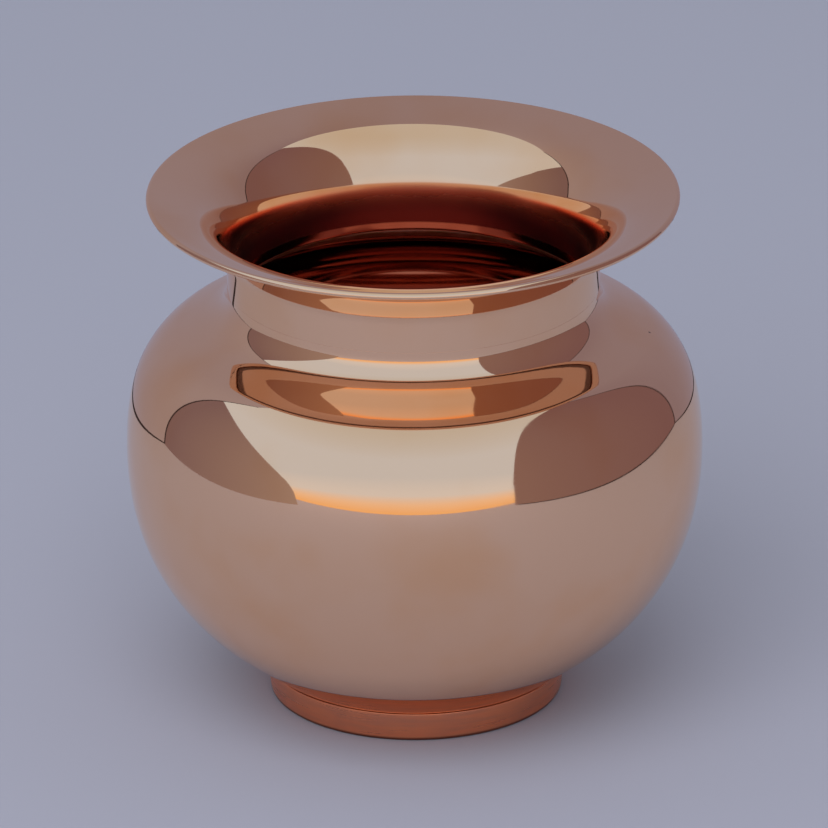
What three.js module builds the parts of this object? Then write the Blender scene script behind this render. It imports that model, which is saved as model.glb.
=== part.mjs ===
// A lota: a small spun copper water pot with a round belly, a narrow neck, a wide flared
// mouth and a ring foot. Millimetres, +Z up, origin at the centre of the resting face.
import * as THREE from 'three';

// Sheet, and how finely the round shapes are cut into facets
const SHEET = 0.7;
const SEGMENTS = 64;
const FACET_SAG = 0.06;

// Belly: a flat underside, a corner, a short cone and a round side that is flattest where
// the belly is widest
const BELLY_RADIUS = 55;
const UNDERSIDE_HEIGHT = 3;
const CORNER_ARC = 11.5;
const CONE_FACING = 53;
const CONE_LENGTH = 11.9;
const BELLY_ARC = 44.2;
const BELLY_EASE = 13.8;
const SIDE_ARC = 65.5;

// Shoulder: it tightens from the side, then bends back through a hollow into the neck
const SHOULDER_EASE = 17.6;
const SHOULDER_ARC = 19.4;
const NECK_FILLET = 6.5;
const NECK_RADIUS = 35.5;
const COLLAR_HEIGHT = 1;

// Mouth: a sleeve lapped inside the collar, a flare that opens out, and a lip turned under.
// Inside, the step from the neck down to the sleeve is eased into a slope.
const LAP_DEPTH = 3.4;
const LAP_CLEARANCE = 0.15;
const STEP_SLOPE = 12;
const STEP_BEND = 3;
const NECK_RISE = 5.2;
const THROAT_ARC = 11;
const THROAT_TURN = 55;
const FLARE_ARC = 17.1;
const FLARE_TURN = 77;
const RIM_RADIUS = 50.7;
const LIP_THICKNESS = 1.3;
const LIP_WIDTH = 2.4;

// Foot: a ring of heavier sheet, turned in at the bottom
const FOOT_RADIUS = 27.9;
const FOOT_SPREAD = 0.7;
const FOOT_SHEET = 1;
const FOOT_FLANGE = 2.5;
const FOOT_CORNER = 0.6;
const FOOT_CLEARANCE = 0.15;

// Brazing metal
const BRAZE_LEG = 1.8;
const BRAZE_CLEARANCE = 0.1;

const COPPER = { color: 0xc8764f, roughness: 0.12, metalness: 1 };
const DULL_COPPER = { color: 0xb06a48, roughness: 0.38, metalness: 1 };
const BRAZING_METAL = { color: 0xb08a50, roughness: 0.5, metalness: 1 };

const rad = (degrees) => (degrees * Math.PI) / 180;
const deg = (radians) => (radians * 180) / Math.PI;

// A point at a distance and an angle from another, both as [radius, height]
function polar(origin, distance, angle) {
  return [origin[0] + distance * Math.cos(rad(angle)), origin[1] + distance * Math.sin(rad(angle))];
}

// The moves that an outline is made of. It faces 0 degrees where its outer side looks straight
// out from the axis and 90 where it looks up. A bend turns it to a new facing while its radius
// changes evenly, and that radius is negative where the outline is hollow.
const straight = (length) => ({ length });
const bend = (facing, radius, endRadius = radius) => ({ facing, radius, endRadius });

// How many facets keep a bend within FACET_SAG of the true curve
function facets(move, span) {
  const radius = Math.max(Math.abs(move.radius), Math.abs(move.endRadius));
  return Math.ceil(Math.abs(span) / (2 * Math.acos(1 - FACET_SAG / radius)));
}

// The points of a line that runs through the moves, a depth in from the outer side
function follow(start, facing, moves, depth = 0) {
  const points = [polar(start, -depth, facing)];
  for (const move of moves) {
    const [radius, height] = points[points.length - 1];
    if (move.length) {
      points.push(polar([radius, height], move.length, facing + 90));
      continue;
    }
    const span = rad(move.facing - facing);
    const growth = (move.endRadius - move.radius) / span;
    const steps = facets(move, span);
    const curve = (share) => {
      const angle = rad(facing) + span * share;
      const arm = move.radius - depth + growth * span * share;
      return [
        arm * Math.cos(angle) - growth * Math.sin(angle),
        arm * Math.sin(angle) + growth * Math.cos(angle),
      ];
    };
    const base = curve(0);
    for (let i = 1; i <= steps; i += 1) {
      const end = curve(i / steps);
      points.push([radius + end[0] - base[0], height + end[1] - base[1]]);
    }
    facing = move.facing;
  }
  return points;
}

// The point at which a line through the moves ends
function endOf(start, facing, moves) {
  return follow(start, facing, moves).pop();
}

// The body made by turning an outline of [radius, height] points about the vertical axis
function turn(outline) {
  const points = outline.map(([radius, height]) => new THREE.Vector2(radius, height));
  return new THREE.LatheGeometry(points, SEGMENTS).rotateX(Math.PI / 2);
}

// The same for an outline that closes on itself
function turnRing(outline) {
  return turn([...outline, outline[0]]);
}

// The belly's line from the edge of its flat underside to where it is widest
const bellyMoves = [
  bend(-CONE_FACING, CORNER_ARC),
  straight(CONE_LENGTH),
  bend(-BELLY_EASE, BELLY_ARC),
  bend(0, BELLY_ARC, SIDE_ARC),
];
const flatRadius = BELLY_RADIUS - endOf([0, 0], -90, bellyMoves)[0];
const bellyStart = [flatRadius, UNDERSIDE_HEIGHT];

// The line from there up to the collar: the shoulder turns until the fillet meets the neck
const easing = bend(SHOULDER_EASE, SIDE_ARC, SHOULDER_ARC);
const easedRadius = endOf([BELLY_RADIUS, 0], 0, [easing])[0];
const shoulderCentre = polar([easedRadius, 0], -SHOULDER_ARC, SHOULDER_EASE)[0];
const filletOffset = NECK_RADIUS + NECK_FILLET - shoulderCentre;
const shoulderEnd = deg(Math.acos(filletOffset / (SHOULDER_ARC + NECK_FILLET)));
const shoulderMoves = [easing, bend(shoulderEnd, SHOULDER_ARC), bend(0, -NECK_FILLET)];

// Heights and radii at which the collar and the mouth piece meet
const bowlMoves = [...bellyMoves, ...shoulderMoves, straight(COLLAR_HEIGHT)];
const collarTop = endOf(bellyStart, -90, bowlMoves)[1];
const filletCentre = [NECK_RADIUS + NECK_FILLET, collarTop - COLLAR_HEIGHT];
const sleeveRadius = NECK_RADIUS - SHEET - LAP_CLEARANCE;
const sleeveEnd = collarTop - LAP_DEPTH;

// The height of the belly's outer face at a radius, on the part that faces down
const bellyLine = [[0, UNDERSIDE_HEIGHT], ...follow(bellyStart, -90, bellyMoves)];
function underside(radius) {
  const i = bellyLine.findIndex((point) => point[0] >= radius);
  const [inner, outer] = [bellyLine[i - 1], bellyLine[i]];
  return inner[1] + ((outer[1] - inner[1]) * (radius - inner[0])) / (outer[0] - inner[0]);
}

function bowl() {
  const outside = follow(bellyStart, -90, bowlMoves);
  const inside = follow(bellyStart, -90, bowlMoves, SHEET);
  return turn([
    [0, UNDERSIDE_HEIGHT],
    ...outside,
    ...inside.reverse(),
    [0, UNDERSIDE_HEIGHT + SHEET],
  ]);
}

function neckAndRim() {
  const flareMoves = [
    straight(NECK_RISE),
    bend(-THROAT_TURN, -THROAT_ARC),
    bend(-FLARE_TURN, -THROAT_ARC, -FLARE_ARC),
  ];
  const neckBase = [NECK_RADIUS, collarTop];
  const outside = follow(neckBase, 0, flareMoves);
  const inside = follow(neckBase, 0, flareMoves, SHEET);
  const slope = 90 - FLARE_TURN;
  const noseRadius = LIP_THICKNESS / 2;
  const innerEnd = inside[inside.length - 1];
  const noseStart = polar(innerEnd, -noseRadius, slope + 90);
  const run = (RIM_RADIUS - noseRadius - noseStart[0]) / Math.cos(rad(slope));
  const lipBack = polar(innerEnd, run + noseRadius - LIP_WIDTH, slope);
  const lipBottom = polar(lipBack, -LIP_THICKNESS, slope + 90);
  const nose = [straight(LIP_WIDTH - noseRadius), bend(slope + 90, noseRadius)];
  const bendsIn = 2 * STEP_BEND * (1 - Math.cos(rad(STEP_SLOPE)));
  const insideSleeve = follow([sleeveRadius - SHEET, sleeveEnd], 0, [
    straight(LAP_DEPTH),
    bend(-STEP_SLOPE, -STEP_BEND),
    straight((SHEET + LAP_CLEARANCE - bendsIn) / Math.sin(rad(STEP_SLOPE))),
    bend(0, STEP_BEND),
  ]);
  return turnRing([
    [sleeveRadius, sleeveEnd],
    [sleeveRadius, collarTop],
    ...outside,
    polar(lipBack, -SHEET, slope + 90),
    ...follow(lipBottom, slope - 90, nose),
    ...inside.slice(1).reverse(),
    ...insideSleeve.reverse(),
  ]);
}

// The ring's wall leaves its rounded bottom corner without a kink
function footRing() {
  const topRadius = FOOT_RADIUS + FOOT_SPREAD;
  const wallTop = underside(topRadius) - FOOT_CLEARANCE;
  const [run, rise] = [topRadius - FOOT_RADIUS + FOOT_CORNER, wallTop - FOOT_CORNER];
  const wallFacing = deg(Math.atan2(rise, run) - Math.acos(FOOT_CORNER / Math.hypot(run, rise)));
  return turnRing([
    ...follow([FOOT_RADIUS - FOOT_FLANGE, 0], -90, [
      straight(FOOT_FLANGE - FOOT_CORNER),
      bend(wallFacing, FOOT_CORNER),
    ]),
    [topRadius, wallTop],
    [topRadius - FOOT_SHEET, underside(topRadius - FOOT_SHEET) - FOOT_CLEARANCE],
    [FOOT_RADIUS - FOOT_SHEET, FOOT_SHEET],
    [FOOT_RADIUS - FOOT_FLANGE, FOOT_SHEET],
  ]);
}

// A bead of braze under the sleeve's end, against the inside of the bowl
function neckBraze() {
  const depth = SHEET + BRAZE_CLEARANCE;
  const top = sleeveEnd - BRAZE_CLEARANCE;
  const facingAt = (height) => deg(Math.asin((filletCentre[1] - height) / (NECK_FILLET + depth)));
  const bottomFacing = facingAt(top - BRAZE_LEG);
  const bottom = polar(filletCentre, -NECK_FILLET, bottomFacing);
  return turnRing([
    ...follow(bottom, bottomFacing, [bend(facingAt(top), -NECK_FILLET)], depth),
    [sleeveRadius - SHEET + BRAZE_CLEARANCE, top],
  ]);
}

// A line of braze in the corner between the foot's inside and the belly
function footBraze() {
  const wallRadius = FOOT_RADIUS + FOOT_SPREAD - FOOT_SHEET;
  const wallTop = underside(wallRadius) - FOOT_CLEARANCE;
  const lean = FOOT_SPREAD / (wallTop - FOOT_SHEET);
  const outer = wallRadius - BRAZE_CLEARANCE;
  const inner = outer - BRAZE_LEG;
  return turnRing([
    [outer - lean * BRAZE_LEG, wallTop - BRAZE_LEG],
    [outer, wallTop],
    [outer, underside(outer) - BRAZE_CLEARANCE],
    [inner, underside(inner) - BRAZE_CLEARANCE],
  ]);
}

const pot = new THREE.Group();

function add(name, geometry, finish) {
  const mesh = new THREE.Mesh(geometry, new THREE.MeshStandardMaterial(finish));
  mesh.name = name;
  pot.add(mesh);
}

add('bowl', bowl(), COPPER);
add('neck_and_rim', neckAndRim(), COPPER);
add('foot_ring', footRing(), DULL_COPPER);
add('neck_braze', neckBraze(), BRAZING_METAL);
add('foot_braze', footBraze(), BRAZING_METAL);

export default pot;
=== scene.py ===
import cmath
import math
import statistics

import bpy
from mathutils import Matrix, Vector


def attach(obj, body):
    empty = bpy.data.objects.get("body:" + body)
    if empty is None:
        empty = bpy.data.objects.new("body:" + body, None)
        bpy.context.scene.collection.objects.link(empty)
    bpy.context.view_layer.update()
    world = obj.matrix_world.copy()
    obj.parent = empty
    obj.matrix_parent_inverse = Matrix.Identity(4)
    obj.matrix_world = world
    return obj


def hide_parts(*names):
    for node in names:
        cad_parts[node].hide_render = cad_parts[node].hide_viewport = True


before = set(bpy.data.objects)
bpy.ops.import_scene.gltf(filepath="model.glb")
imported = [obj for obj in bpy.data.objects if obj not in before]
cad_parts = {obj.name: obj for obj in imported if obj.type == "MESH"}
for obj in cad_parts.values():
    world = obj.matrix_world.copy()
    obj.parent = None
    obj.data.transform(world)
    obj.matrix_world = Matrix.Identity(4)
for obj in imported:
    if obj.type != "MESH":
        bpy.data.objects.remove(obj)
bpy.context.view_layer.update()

# Camera, in metres and degrees: its view of the pot in an 828 pixel square
IMAGE_SIDE = 828
PIXELS_PER_METRE = 5234
VIEW_ELEVATION = math.radians(23)
VIEW_DISTANCE = 2.81
VIEW_ROLL = math.radians(0.4)
AIM_HEIGHT = 0.05
AIM_PIXEL = (414.65, 442.45)
SENSOR = 36

# Lathe work, in metres: how finely an outline is cut, and how its corners are softened
TINY = 1e-6
TURNS = 256
ARC_STEP = math.radians(1.5)
SHORTEST_STEP = 0.00006
LONGEST_STEP = 0.0007
EDGE_STEP = 0.00002
CORNER = math.radians(48)
SOFTENING = 0.0002
SOFTENED_SHARE = 0.3

# Shoulder and mouth lines, in degrees and metres. A bend turns a line to a new facing, which is
# 0 outwards and 90 upwards, from one radius to another, negative where the line is hollow.
SHOULDER = ((17.6, 0.0655, 0.0194), (41.5, 0.0194, 0.0193), (65.2, 0.0193, 0.008))
HOLLOW = ((45, -0.0184, -0.0062), (0, -0.0062, -0.0062))
MOUTH = ((-18.8, -0.0052, -0.0052), (-63.3, -0.0171, -0.0088), (-77, -0.0092, -0.0372))
MOUTH_START = 0.08897
THROAT_FACING = -30
THROAT_STEPS = 24
LIP_BACK = 0.0482
SHEET = 0.0007

# Turned rings in the metal: their pitch and depth in metres, the points of a path that they
# leave out at its start and end, and over how many points and what radius they fade in
BOWL_MARKS = (0.0034, 0.00001)
BOWL_PLAIN = (20, 1)
FOOT_MARKS = (0.0011, 0.00002)
FOOT_PLAIN = (12, 4)
FADE_POINTS = 10
FADE_RADIUS = 0.006

# Copper
COPPER = (0.955, 0.6, 0.39)
WARM_COPPER = (0.93, 0.53, 0.3)
BROWN_COPPER = (0.62, 0.28, 0.2)
SATIN_COPPER = (1, 0.35, 0.17)
NECK_COPPER = (0.38, 0.09, 0.08)
THROAT_COPPER = (0.9, 0.2, 0.1)
BARE_COPPER = (0.74, 0.38, 0.28)
SLEEVE_COPPER = (0.9, 0.54, 0.42)
BRAZE = (0.4, 0.17, 0.08)
PIT = (0.08, 0.05, 0.04)
# Painted shade, for the groove behind the lip and along the foot's bottom edge
PAINTED_SHADE = (0.1, 0.04, 0.03)
MIRROR_ROUGHNESS = 0.02
BUFFED_ROUGHNESS = 0.22
DULL_ROUGHNESS = 0.28
SHINE_ROUGHNESS = 0.05

# Where the finishes and the painted shade change: the heights at which each one starts and
# is complete, and the same in radii for the painted shade in the groove behind the lip
SLEEVE_EDGE = (0.0796, 0.0798)
DULL_EDGE = (0.0815, 0.0819)
FADING_EDGE = (0.0843, 0.0877)
POLISH_END = (0.0877, 0.0869)
BUFFED_EDGE = (0.0905, 0.0873)
CONTACT_SHADE_EDGE = (0.0009, 0.0004)
GROOVE_START = (0.0467, 0.0472)
GROOVE_END = (0.0486, 0.0484)

# Studio, in metres: a pale floor and a soft lamp, and flats and a dome that only the metal sees
FLOOR_COLOUR = (0.41, 0.42, 0.525)
FLOOR_ROUGHNESS = 0.95
FLOOR_SHEEN = 0.2
FLOOR_SIDE = 6
DOME_RADIUS = 1.6
WORLD_COLOUR = (0.52, 0.53, 0.55)
LAMP_PLACE = (-0.28, -0.85, 1.1)
LAMP_SIDE = 1.2
LAMP_WATTS = 10

# Flats: the side ones are SIDE_DISTANCE from the pot. The left one's top rises by a power of
# the way back, and the right one's is part of an ellipse and then level.
SIDE_DISTANCE = 0.36
FRONT_DISTANCE = 0.57
FRONT_HALF_WIDTH = 0.9
FRONT_HEIGHT = 0.3
BACK_LEFT, BACK_LEFT_HEIGHT = 0.138, 0.58
BACK_RIGHT, BACK_RIGHT_HEIGHT = 0.216, 0.68
LEFT_START, LEFT_REACH, LEFT_HEIGHT, LEFT_POWER = -0.373, 0.511, 0.385, 0.62
RIGHT_CENTRE, RIGHT_REACH, RIGHT_HEIGHT = 0.11, 0.59, 0.7
CURVE_STEPS = 24
RIGHT_STEPS_OUT = 3

# Dark strips on the flats: painted shade along the foot of two, and seams down the corners between
# them
SEAM_AND_SHADE_COLOUR = (0.03, 0.025, 0.03)
BASE_SHADE_HEIGHT = 0.003
SEAM_AND_SHADE_OFFSET = 0.001
BASE_SHADE_END = -0.45
SEAM_WIDTH = 0.006
SEAM_DROP = 0.01

# Glows: an axis, the places on it where the colours begin and end, and each colour with its
# share of the way between them
SKY = (0.58, 0.75, 0.96)
SKY_TOP = (0.54, 0.64, 0.7)
FRONT_STOPS = (
    (0, (0.9, 0.6, 0.28)),
    (0.17, (0.86, 0.72, 0.55)),
    (0.36, (0.68, 0.82, 0.98)),
    (1, SKY),
)
FRONT_GLOW = ("Z", 0, FRONT_HEIGHT, FRONT_STOPS)
LEFT_GLOW = ("Y", -0.35, 0.1, ((0, (0.34, 0.3, 0.3)), (1, (0.2, 0.16, 0.2))))
RIGHT_GLOW = ("Y", -0.4, 0.15, ((0, (0.24, 0.18, 0.19)), (1, (0.19, 0.13, 0.16))))
BACK_GLOW = ("X", -0.3, 0.3, ((0, (0.33, 0.33, 0.42)), (1, (0.25, 0.23, 0.31))))
SEAM_AND_SHADE_GLOW = ("Z", 0, 1, ((0, SEAM_AND_SHADE_COLOUR), (1, SEAM_AND_SHADE_COLOUR)))
SKY_GLOW = ("Z", 0.7 * DOME_RADIUS, 0.97 * DOME_RADIUS, ((0, SKY), (1, SKY_TOP)))


def make_camera():
    data = bpy.data.cameras.new("camera")
    data.sensor_width = SENSOR
    data.lens = PIXELS_PER_METRE * VIEW_DISTANCE * SENSOR / IMAGE_SIDE
    data.clip_end = 20
    data.shift_x = (IMAGE_SIDE / 2 - AIM_PIXEL[0]) / IMAGE_SIDE
    data.shift_y = (AIM_PIXEL[1] - IMAGE_SIDE / 2) / IMAGE_SIDE
    camera = bpy.data.objects.new("camera", data)
    bpy.context.scene.collection.objects.link(camera)
    back = Vector((0, -math.cos(VIEW_ELEVATION), math.sin(VIEW_ELEVATION)))
    place = Matrix.Translation(Vector((0, 0, AIM_HEIGHT)) + back * VIEW_DISTANCE)
    turn = (-back).to_track_quat("-Z", "Y").to_matrix().to_4x4()
    camera.matrix_world = place @ turn @ Matrix.Rotation(-VIEW_ROLL, 4, "Z")
    bpy.context.scene.camera = camera


def node_outline(name):
    """A turned CAD node's closed outline, as radius + height * 1j, with the metal on its left."""
    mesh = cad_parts[name].data
    keys, exact, links = {}, {}, {}
    for vertex in mesh.vertices:
        x, y, z = vertex.co
        if abs(y) < TINY and x > -TINY:
            key = (round(x, 6), round(z, 6))
            keys[vertex.index] = key
            exact[key] = complex(max(x, 0), z)
    for edge in mesh.edges:
        a, b = (keys.get(i) for i in edge.vertices)
        if a and b and a != b:
            links.setdefault(a, set()).add(b)
            links.setdefault(b, set()).add(a)
    start = min(links, key=lambda k: (len(links[k]), k))
    path = [start]
    while True:
        ahead = [k for k in links[path[-1]] if k not in path[-2:]]
        if not ahead or ahead[0] == start:
            break
        path.append(min(ahead))
    points = [exact[k] for k in path]
    area = sum((a.conjugate() * b).imag for a, b in zip(points, points[1:] + points[:1]))
    return points if area > 0 else points[::-1]


def top_of(path):
    """The index of a path's highest point."""
    return max(range(len(path)), key=lambda i: path[i].imag)


def curve_point(start, pull, end, share):
    """The point at a share of the way along a curve that is drawn towards a third point."""
    return start * (1 - share) ** 2 + pull * 2 * share * (1 - share) + end * share**2


def arc_angles(turns):
    """The angle of each arc in a smooth run of chords, from the turns between the chords."""
    angles = [0.0]
    for turn in turns:
        angles.append(2 * turn - angles[-1])
    swings = [(-1) ** j * (b - a) for j, (a, b) in enumerate(zip(angles, angles[1:]))]
    shift = statistics.median(swings) / 2 if swings else 0
    return [angle + (-1) ** j * shift for j, angle in enumerate(angles)]


def arc_point(start, chord, angle, share):
    """The point at a share of the way along the arc of that angle over a chord."""
    if abs(angle) < 1e-4:
        return start + chord * share
    reach = math.sin(angle * share / 2) / math.sin(angle / 2)
    return start + chord * reach * cmath.exp(0.5j * angle * (share - 1))


def fine_outline(name):
    """A node's outline with round arcs through its points and softened corners, from the bottom
    up its outer side and down its inner side. Corners that two pieces share stay sharp."""
    points = OUTLINES[name]
    shared = [p for other in OUTLINES if other != name for p in OUTLINES[other]]
    count = len(points)
    chords = [points[(i + 1) % count] - points[i] for i in range(count)]
    turns = [cmath.phase(chords[i] / chords[i - 1]) for i in range(count)]
    corners = [i for i in range(count) if abs(turns[i]) > CORNER]
    angles = [0.0] * count
    for first, after in zip(corners, corners[1:] + [corners[0] + count]):
        run = [i % count for i in range(first, after)]
        for i, angle in zip(run, arc_angles([turns[i] for i in run[1:]])):
            angles[i] = angle
    trims = [0.0] * count
    for i in corners:
        if points[i].real > TINY and min(abs(points[i] - p) for p in shared) > TINY:
            shorter = min(abs(chords[i]), abs(chords[i - 1]))
            trims[i] = min(SOFTENING, SOFTENED_SHARE * shorter)
    fine = []
    for i in range(count):
        after = (i + 1) % count
        length = abs(chords[i])
        begin, end = trims[i] / length, 1 - trims[after] / length
        by_angle = min(abs(angles[i]) / ARC_STEP, length / SHORTEST_STEP)
        steps = max(1, math.ceil(max(by_angle, length / LONGEST_STEP)))
        for k in range(steps + (trims[after] > 0)):
            share = begin + (end - begin) * k / steps
            fine.append(arc_point(points[i], chords[i], angles[i], share))
        if trims[after] > 0:
            a, tip = fine[-1], points[after]
            b = arc_point(tip, chords[after], angles[after], trims[after] / abs(chords[after]))
            fine += [curve_point(a, tip, b, share) for share in (0.25, 0.5, 0.75)]
    order = [(point.real > TINY, round(point.imag, 7), -point.real) for point in fine]
    bottom = order.index(min(order))
    return fine[bottom:] + fine[:bottom]


def sweep(start, facing, bends, depth=0):
    """The points of a line through the bends, a depth in from its outer side."""
    points = [start - cmath.rect(depth, math.radians(facing))]
    for end, radius, end_radius in bends:
        span = math.radians(end - facing)
        growth = (end_radius - radius) / span
        length = abs(span) * max(abs(radius), abs(end_radius))
        steps = math.ceil(max(abs(span) / ARC_STEP, length / LONGEST_STEP))
        curve = []
        for k in range(steps + 1):
            arm = complex(radius - depth + growth * span * k / steps, growth)
            curve.append(arm * cmath.rect(1, math.radians(facing) + span * k / steps))
        points += [points[-1] + point - curve[0] for point in curve[1:]]
        facing = end
    return points


def redraw(path, first, last, outside, inside, keep):
    """The path with new lines outside and inside, and the old points between them that are kept.
    Long straight runs are cut into steps, with a short one on each side of a sharp corner."""
    between = [point for point in path[first + 1 : last] if keep(point)]
    rough = path[: first + 1] + outside[1:] + between + inside[:0:-1] + path[last:]
    runs = [end - start for start, end in zip(rough, rough[1:] + rough[:1])]
    sharp = [abs(cmath.phase(run / runs[i - 1])) > CORNER for i, run in enumerate(runs)]
    cut = []
    for i, (start, run) in enumerate(zip(rough, runs)):
        steps = math.ceil(abs(run) / LONGEST_STEP - TINY)
        shares = [k / steps for k in range(steps)]
        if sharp[i] and start.real > TINY:
            shares.insert(1, EDGE_STEP / abs(run))
        if sharp[(i + 1) % len(rough)] and (start + run).real > TINY:
            shares.append(1 - EDGE_STEP / abs(run))
        cut += [start + run * share for share in shares]
    return cut


def eased_bowl(path):
    """The bowl with its shoulder eased into the neck."""
    top = top_of(path)
    first = max(range(top), key=lambda i: path[i].real)
    last = max(range(top + 1, len(path)), key=lambda i: path[i].real)
    end_facing = SHOULDER[-1][0]
    run = path[top].real - sweep(path[first], 0, SHOULDER)[-1].real
    run -= sweep(0, end_facing, HOLLOW)[-1].real
    straight = cmath.rect(-run / math.sin(math.radians(end_facing)), math.radians(end_facing + 90))
    lines = []
    for depth in (0, SHEET):
        rise = sweep(path[first], 0, SHOULDER, depth)
        start = rise[-1] + cmath.rect(depth, math.radians(end_facing)) + straight
        lines.append(rise + sweep(start, end_facing, HOLLOW, depth))
    neck = lines[0][-1].imag + TINY
    return redraw(path, first, last, *lines, lambda point: point.imag > neck)


def eased_mouth(path):
    """The mouth piece with a throat that opens evenly, inside from the sleeve's top on."""
    top = top_of(path)
    joint = max(point.imag for point in OUTLINES["bowl"])
    neck = max(point.real for point in OUTLINES["bowl"] if joint - point.imag < TINY)
    first = min(range(top), key=lambda i: abs(path[i] - complex(neck, joint)))
    last = min(range(top, len(path)), key=lambda i: abs(path[i].imag - joint))
    outside = [path[first]] + sweep(complex(neck, MOUTH_START), 0, MOUTH)
    inside = sweep(complex(neck, MOUTH_START), 0, MOUTH, SHEET)
    steps = [end - start for start, end in zip(inside, inside[1:])]
    opening = math.radians(90 + THROAT_FACING)
    begin = next(i for i, step in enumerate(steps) if cmath.phase(step) < opening)
    sleeve, throat, ahead = path[last], inside[begin], steps[begin]
    pull = throat - ahead * (throat.real - sleeve.real) / ahead.real
    shares = [k / THROAT_STEPS for k in range(THROAT_STEPS)]
    blend = [curve_point(sleeve, pull, throat, share) for share in shares]
    inside = blend + inside[begin:]
    return redraw(path, first, last, outside, inside, lambda point: point.real > LIP_BACK)


def tool_marks(path, first, last, pitch, depth):
    """The path with shallow turned rings cut into the metal between two of its points."""
    marked = list(path)
    travelled = 0
    for i in range(first, last):
        travelled += abs(path[i] - path[i - 1])
        along = path[(i + 1) % len(path)] - path[i - 1]
        phase = 2 * math.pi * travelled / pitch
        wave = 0.5 - 0.3 * math.cos(phase) - 0.2 * math.cos(0.37 * phase + 1)
        points_in = min(i - first, last - i)
        fade = min(1, points_in / FADE_POINTS, path[i].real / FADE_RADIUS)
        marked[i] += 1j * along / abs(along) * depth * wave * fade
    return marked


def lathe(name, path, inner_start):
    """A mesh turned about the Z axis, with the second material from one point of the path on."""
    vertices, rings, faces, slots = [], [], [], []
    for point in path:
        if point.real < TINY:
            rings.append([len(vertices)] * TURNS)
            vertices.append((0, 0, point.imag))
            continue
        rings.append([len(vertices) + k for k in range(TURNS)])
        for k in range(TURNS):
            angle = 2 * math.pi * k / TURNS
            vertices.append((point.real * math.cos(angle), point.real * math.sin(angle), point.imag))
    for i, (low, high) in enumerate(zip(rings, rings[1:] + rings[:1])):
        for k in range(TURNS):
            n = (k + 1) % TURNS
            corners = list(dict.fromkeys((low[k], low[n], high[n], high[k])))
            if len(corners) > 2:
                faces.append(corners)
                slots.append(int(i >= inner_start))
    mesh = bpy.data.meshes.new(name)
    mesh.from_pydata(vertices, [], faces)
    mesh.polygons.foreach_set("material_index", slots)
    mesh.shade_smooth()
    piece = bpy.data.objects.new(name, mesh)
    bpy.context.scene.collection.objects.link(piece)
    return piece


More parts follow.
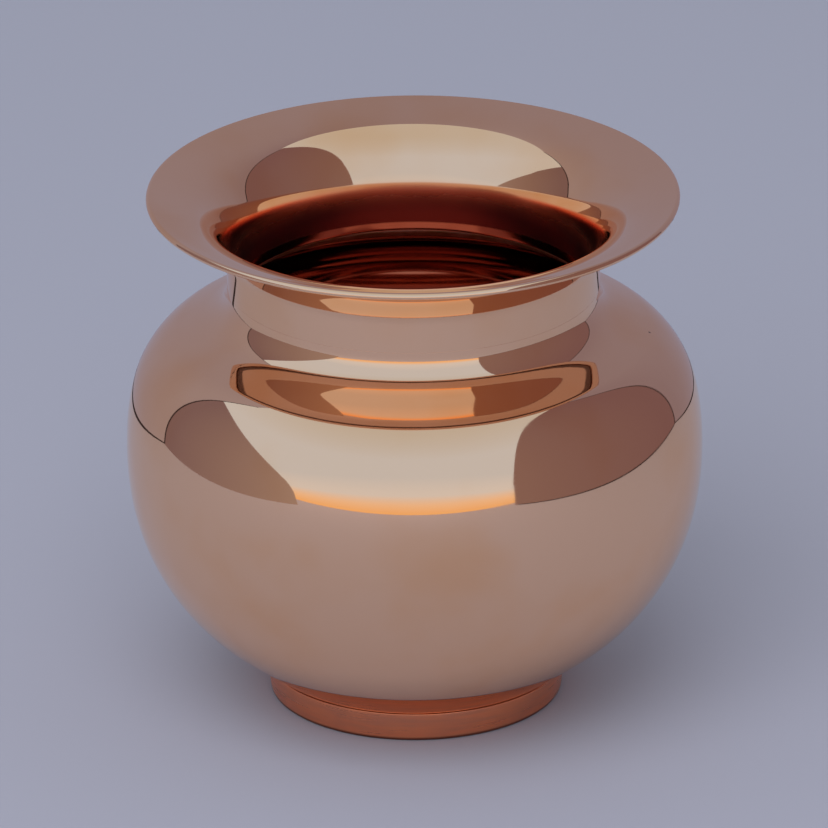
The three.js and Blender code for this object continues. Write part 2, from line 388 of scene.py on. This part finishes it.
class Finish:
    """A procedural material: small helpers round one Principled shader."""

    def __init__(self, name):
        self.material = bpy.data.materials.new(name)
        self.material.use_nodes = True
        self.tree = self.material.node_tree
        self.shader = self.tree.nodes["Principled BSDF"]
        self.shader.inputs["Metallic"].default_value = 1
        self.place = self.node("ShaderNodeTexCoord").outputs["Object"]
        self.height = self.node("ShaderNodeSeparateXYZ", Vector=self.place).outputs["Z"]
        flat = self.vector("MULTIPLY", self.place, (1, 1, 0)).outputs["Vector"]
        self.radius = self.vector("LENGTH", flat).outputs["Value"]
        self.around = self.vector("NORMALIZE", flat).outputs["Vector"]

    def node(self, kind, settings=None, **inputs):
        made = self.tree.nodes.new(kind)
        for key, value in (settings or {}).items():
            setattr(made, key, value)
        for key, value in inputs.items():
            self.plug(made.inputs[key], value)
        return made

    def plug(self, socket, value):
        if isinstance(value, bpy.types.NodeSocket):
            self.tree.links.new(value, socket)
        else:
            socket.default_value = value

    def maths(self, operation, a, b):
        made = self.node("ShaderNodeMath", {"operation": operation})
        self.plug(made.inputs[0], a)
        self.plug(made.inputs[1], b)
        return made.outputs[0]

    def plus(self, a, b):
        return self.maths("ADD", a, b)

    def times(self, a, b):
        return self.maths("MULTIPLY", a, b)

    def vector(self, operation, *vectors):
        made = self.node("ShaderNodeVectorMath", {"operation": operation})
        for socket, value in zip(made.inputs, vectors):
            self.plug(socket, value)
        return made

    def blotches(self, size, detail, seed=0.0):
        """Soft noise from 0 to 1 with patches of about that size in metres."""
        spot = self.vector("ADD", self.place, (seed, 0, 0)).outputs["Vector"]
        made = self.node("ShaderNodeTexNoise", Vector=spot, Scale=1 / size, Detail=detail)
        return made.outputs["Fac"]

    def ragged(self, value, size, seed, reach):
        """A value that soft noise shifts up and down, within the reach in metres."""
        noise = self.plus(self.blotches(size, 3, seed), -0.5)
        return self.plus(value, self.times(noise, reach))

    def lines(self, pitch, length, detail=2.0):
        """Noise drawn out round the axis, as turning and buffing leave it."""
        step = self.times(self.height, 1 / pitch)
        ring = self.node("ShaderNodeCombineXYZ", Z=step).outputs[0]
        round_axis = self.vector("MULTIPLY", self.around, (length, length, 0)).outputs["Vector"]
        made = self.node(
            "ShaderNodeTexNoise",
            {"noise_dimensions": "4D"},
            Vector=self.vector("ADD", ring, round_axis).outputs["Vector"],
            W=self.times(self.radius, 1 / pitch),
            Scale=1.0,
            Detail=detail,
        )
        return made.outputs["Fac"]

    def between(self, value, low, high):
        """0 where a value is at low, 1 where it is at high, smoothly."""
        made = self.node("ShaderNodeMapRange", {"interpolation_type": "SMOOTHSTEP"})
        self.plug(made.inputs["Value"], value)
        made.inputs["From Min"].default_value = low
        made.inputs["From Max"].default_value = high
        return made.outputs["Result"]

    def mix(self, share, a, b):
        """Colours or numbers mixed by a share."""
        colours = isinstance(b, tuple) or getattr(b, "type", "VALUE") == "RGBA"
        kind = "Color" if colours else "Float"
        made = self.node("ShaderNodeMix", {"data_type": "RGBA" if colours else "FLOAT"})
        sockets = {socket.identifier: socket for socket in made.inputs}
        self.plug(sockets["Factor_Float"], share)
        for key, value in (("A", a), ("B", b)):
            self.plug(sockets[f"{key}_{kind}"], (*value, 1) if isinstance(value, tuple) else value)
        return next(s for s in made.outputs if s.identifier == f"Result_{kind}")

    def wear(self, colour, roughness, relief):
        """Links the colour, the roughness and the relief in metres to the shader."""
        self.plug(self.shader.inputs["Base Color"], colour)
        self.plug(self.shader.inputs["Roughness"], roughness)
        bump = self.node("ShaderNodeBump", Strength=1.0, Distance=1.0, Height=relief)
        self.plug(self.shader.inputs["Normal"], bump.outputs["Normal"])
        return self.material

    def polish(self):
        """Colour, roughness and relief of mirror polished copper."""
        warmth = self.between(self.blotches(0.03, 3), 0.45, 0.75)
        cells = self.node("ShaderNodeTexVoronoi", Vector=self.place, Scale=110.0)
        chance = self.node("ShaderNodeSeparateXYZ", Vector=cells.outputs["Color"]).outputs["X"]
        rare = self.between(chance, 0.9, 0.92)
        pits = self.times(self.between(cells.outputs["Distance"], 0.035, 0.02), rare)
        colour = self.mix(pits, self.mix(warmth, COPPER, WARM_COPPER), PIT)
        haze = self.times(self.between(self.blotches(0.012, 4, 3), 0.5, 0.8), 0.04)
        streaks = self.times(self.lines(0.0006, 3), 0.03)
        roughness = self.plus(self.plus(haze, streaks), MIRROR_ROUGHNESS)
        waves = self.times(self.blotches(0.014, 1, 5), 6e-6)
        relief = self.plus(waves, self.times(self.lines(0.0012, 1), 4e-7))
        return colour, roughness, relief


def polished_copper():
    finish = Finish("polished_copper")
    return finish.wear(*finish.polish())


def rim_copper():
    """Polished copper, with painted shade in the groove behind the turned lip."""
    finish = Finish("rim_copper")
    colour, roughness, relief = finish.polish()
    # Painted shade: dark and a little rougher in the groove behind the lip, with a ragged edge
    radius = finish.ragged(finish.radius, 0.004, 6, 0.0006)
    inside = finish.between(radius, *GROOVE_START)
    groove_shade = finish.times(inside, finish.between(radius, *GROOVE_END))
    colour = finish.mix(finish.times(groove_shade, 0.85), colour, PAINTED_SHADE)
    return finish.wear(colour, finish.plus(roughness, finish.times(groove_shade, 0.2)), relief)


def inner_copper():
    """Copper that is polished down to a ragged edge in the throat, dull on the neck below it
    and still bright from the spinning tool on the sleeve and in the belly."""
    finish = Finish("inner_copper")
    height = finish.height
    patches = finish.between(finish.blotches(0.016, 4, 7), 0.4, 0.75)
    rings = finish.lines(0.0009, 1.5, 3)

    bare = finish.mix(finish.times(patches, 0.5), BARE_COPPER, BROWN_COPPER)
    bare = finish.mix(finish.between(height, *SLEEVE_EDGE), bare, SLEEVE_COPPER)
    # Dark red on the neck inside, in patches, turning a lighter red-orange from 84 to 88 mm up towards
    # the throat
    fading = finish.between(height, *FADING_EDGE)
    neck_red = finish.mix(patches, finish.mix(fading, NECK_COPPER, THROAT_COPPER), NECK_COPPER)
    neck = finish.between(height, *DULL_EDGE)
    dull_colour = finish.mix(neck, bare, neck_red)
    shine_roughness = finish.plus(finish.times(rings, 0.04), SHINE_ROUGHNESS)
    dull_roughness = finish.mix(neck, shine_roughness, DULL_ROUGHNESS)

    colour, roughness, relief = finish.polish()
    buffed = finish.between(height, *BUFFED_EDGE)
    colour = finish.mix(buffed, colour, THROAT_COPPER)
    roughness = finish.plus(roughness, finish.times(buffed, BUFFED_ROUGHNESS))

    dull = finish.between(finish.ragged(height, 0.006, 9, 0.004), *POLISH_END)
    return finish.wear(
        finish.mix(dull, colour, dull_colour),
        finish.mix(dull, roughness, dull_roughness),
        finish.mix(dull, relief, finish.times(rings, 2e-6)),
    )


def satin_copper():
    """Turned copper with fine lines round it, and painted shade along its bottom edge where it stands
    on the floor.
    """
    finish = Finish("satin_copper")
    rings = finish.lines(0.00045, 2, 3)
    streaks = finish.between(finish.lines(0.0013, 2.5, 3), 0.35, 0.7)
    patches = finish.between(finish.blotches(0.012, 3, 2), 0.45, 0.8)
    colour = finish.mix(finish.times(finish.plus(streaks, patches), 0.3), SATIN_COPPER, BROWN_COPPER)
    # Painted shade: dark along the bottom edge, where the foot meets the floor
    contact_shade = finish.between(finish.height, *CONTACT_SHADE_EDGE)
    colour = finish.mix(finish.times(contact_shade, 0.8), colour, PAINTED_SHADE)
    roughness = finish.plus(finish.times(rings, 0.2), 0.2)
    return finish.wear(colour, roughness, finish.times(rings, 1e-5))


def brazing_metal():
    """Braze as it froze: matt, with a rippled and slightly mottled skin."""
    finish = Finish("brazing_metal")
    ripples = finish.blotches(0.0016, 3)
    mottle = finish.between(finish.blotches(0.004, 3, 4), 0.4, 0.7)
    roughness = finish.plus(finish.times(ripples, 0.3), 0.3)
    return finish.wear(finish.mix(mottle, BRAZE, BROWN_COPPER), roughness, finish.times(ripples, 8e-5))


def glow(name, axis, start, end, stops):
    """A plain light surface whose colour runs through the stops along an axis."""
    material = bpy.data.materials.new(name)
    material.use_nodes = True
    tree = material.node_tree
    tree.nodes.remove(tree.nodes["Principled BSDF"])
    spot = tree.nodes.new("ShaderNodeSeparateXYZ")
    tree.links.new(tree.nodes.new("ShaderNodeNewGeometry").outputs["Position"], spot.inputs[0])
    span = tree.nodes.new("ShaderNodeMapRange")
    span.inputs["From Min"].default_value = start
    span.inputs["From Max"].default_value = end
    tree.links.new(spot.outputs[axis], span.inputs["Value"])
    ramp = tree.nodes.new("ShaderNodeValToRGB")
    elements = ramp.color_ramp.elements
    elements[0].color = (*stops[0][1], 1)
    elements[1].color = (*stops[-1][1], 1)
    for place, colour in stops[1:-1]:
        elements.new(place).color = (*colour, 1)
    tree.links.new(span.outputs["Result"], ramp.inputs["Fac"])
    light = tree.nodes.new("ShaderNodeEmission")
    tree.links.new(ramp.outputs["Color"], light.inputs["Color"])
    tree.links.new(light.outputs[0], tree.nodes["Material Output"].inputs["Surface"])
    return material


def for_metal(card, material):
    """A stage piece that only reflections show."""
    card.data.materials.append(material)
    card.visible_camera = False
    card.visible_diffuse = False
    card.visible_shadow = False


def flat(name, corners, material):
    """An upright studio flat."""
    mesh = bpy.data.meshes.new(name)
    mesh.from_pydata(corners, [], [list(range(len(corners)))])
    card = bpy.data.objects.new(name, mesh)
    bpy.context.scene.collection.objects.link(card)
    for_metal(card, material)


def upright(start, end, start_height, end_height):
    """The corners of a wall between two places on the floor."""
    return [(*start, 0), (*end, 0), (*end, end_height), (*start, start_height)]


def make_flats():
    side = SIDE_DISTANCE
    ends = (-FRONT_HALF_WIDTH, -FRONT_DISTANCE), (FRONT_HALF_WIDTH, -FRONT_DISTANCE)
    corners = upright(*ends, FRONT_HEIGHT, FRONT_HEIGHT)
    flat("front_flat", corners, glow("front_glow", *FRONT_GLOW))

    corners = []
    shares = [k / CURVE_STEPS for k in range(CURVE_STEPS + 1)]
    for share in shares:
        corners.append((-side, LEFT_START + LEFT_REACH * share, LEFT_HEIGHT * share**LEFT_POWER))
    corners.append((-side, LEFT_START + LEFT_REACH, 0))
    flat("left_flat", corners, glow("left_glow", *LEFT_GLOW))

    corners = []
    for angle in [math.pi / 2 * share for share in shares[RIGHT_STEPS_OUT:]]:
        y = RIGHT_CENTRE - RIGHT_REACH * math.cos(angle)
        corners.append((side, y, RIGHT_HEIGHT * math.sin(angle)))
    corners.insert(0, (side, corners[0][1], 0))
    corners += [(side, BACK_RIGHT, RIGHT_HEIGHT), (side, BACK_RIGHT, 0)]
    flat("right_flat", corners, glow("right_glow", *RIGHT_GLOW))

    ends = (-side, BACK_LEFT), (side, BACK_RIGHT)
    corners = upright(*ends, BACK_LEFT_HEIGHT, BACK_RIGHT_HEIGHT)
    flat("back_flat", corners, glow("back_glow", *BACK_GLOW))


def make_seams_and_shade():
    dark = glow("seam_and_shade_glow", *SEAM_AND_SHADE_GLOW)
    left = (SEAM_AND_SHADE_OFFSET - SIDE_DISTANCE, BACK_LEFT - SEAM_AND_SHADE_OFFSET)
    right = (SIDE_DISTANCE - SEAM_AND_SHADE_OFFSET, BACK_RIGHT - SEAM_AND_SHADE_OFFSET)
    end = (right[0], BASE_SHADE_END)
    # Strips of painted shade along the foot of the back and right flats
    flat("back_base_shade", upright(left, right, BASE_SHADE_HEIGHT, BASE_SHADE_HEIGHT), dark)
    flat("right_base_shade", upright(right, end, BASE_SHADE_HEIGHT, BASE_SHADE_HEIGHT), dark)
    seams = (("left_seam", left, BACK_LEFT_HEIGHT), ("right_seam", right, BACK_RIGHT_HEIGHT))
    for name, corner, height in seams:
        start = (corner[0], corner[1] - SEAM_WIDTH)
        top = height - SEAM_DROP
        flat(name, upright(start, corner, top, top), dark)


def make_floor():
    bpy.ops.mesh.primitive_plane_add(size=FLOOR_SIDE)
    floor = bpy.context.object
    floor.name = "floor"
    paper = bpy.data.materials.new("floor")
    paper.use_nodes = True
    inputs = paper.node_tree.nodes["Principled BSDF"].inputs
    inputs["Base Color"].default_value = (*FLOOR_COLOUR, 1)
    inputs["Roughness"].default_value = FLOOR_ROUGHNESS
    inputs["Specular IOR Level"].default_value = FLOOR_SHEEN
    floor.data.materials.append(paper)


def make_sky():
    bpy.ops.mesh.primitive_uv_sphere_add(segments=64, ring_count=32, radius=DOME_RADIUS)
    dome = bpy.context.object
    dome.name = "sky_dome"
    for_metal(dome, glow("sky_glow", *SKY_GLOW))
    world = bpy.data.worlds.new("world")
    world.use_nodes = True
    world.node_tree.nodes["Background"].inputs["Color"].default_value = (*WORLD_COLOUR, 1)
    bpy.context.scene.world = world


def make_lamp():
    data = bpy.data.lights.new("soft_lamp", "AREA")
    data.shape = "RECTANGLE"
    data.size, data.size_y = LAMP_SIDE, LAMP_SIDE
    data.energy = LAMP_WATTS
    lamp = bpy.data.objects.new("soft_lamp", data)
    lamp.location = LAMP_PLACE
    lamp.rotation_euler = (-lamp.location).to_track_quat("-Z", "Y").to_euler()
    lamp.visible_glossy = False
    bpy.context.scene.collection.objects.link(lamp)


make_camera()

# Pieces: each CAD node's own outline, turned finely
inner, satin, braze = inner_copper(), satin_copper(), brazing_metal()
PIECES = {
    "bowl": ((polished_copper(), inner), "polished_copper"),
    "neck_and_rim": ((rim_copper(), inner), "polished_copper"),
    "foot_ring": ((satin, satin), "satin_copper"),
    "neck_braze": ((braze, braze), "brazing_metal"),
    "foot_braze": ((braze, braze), "brazing_metal"),
}
OUTLINES = {name: node_outline(name) for name in PIECES}
for name, (materials, slot) in PIECES.items():
    path = fine_outline(name)
    if name == "bowl":
        path = eased_bowl(path)
        first, last = top_of(path) + BOWL_PLAIN[0], len(path) - BOWL_PLAIN[1]
        path = tool_marks(path, first, last, *BOWL_MARKS)
    if name == "neck_and_rim":
        path = eased_mouth(path)
    if name == "foot_ring":
        first, last = FOOT_PLAIN[0], top_of(path) - FOOT_PLAIN[1]
        path = tool_marks(path, first, last, *FOOT_MARKS)
    piece = lathe(name + "_fine", path, top_of(path))
    for material in materials:
        piece.data.materials.append(material)
    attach(piece, "root")
    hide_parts(name)

# Stage
make_flats()
make_seams_and_shade()
make_floor()
make_sky()
make_lamp()

scene = bpy.context.scene
scene.view_settings.view_transform = "Standard"
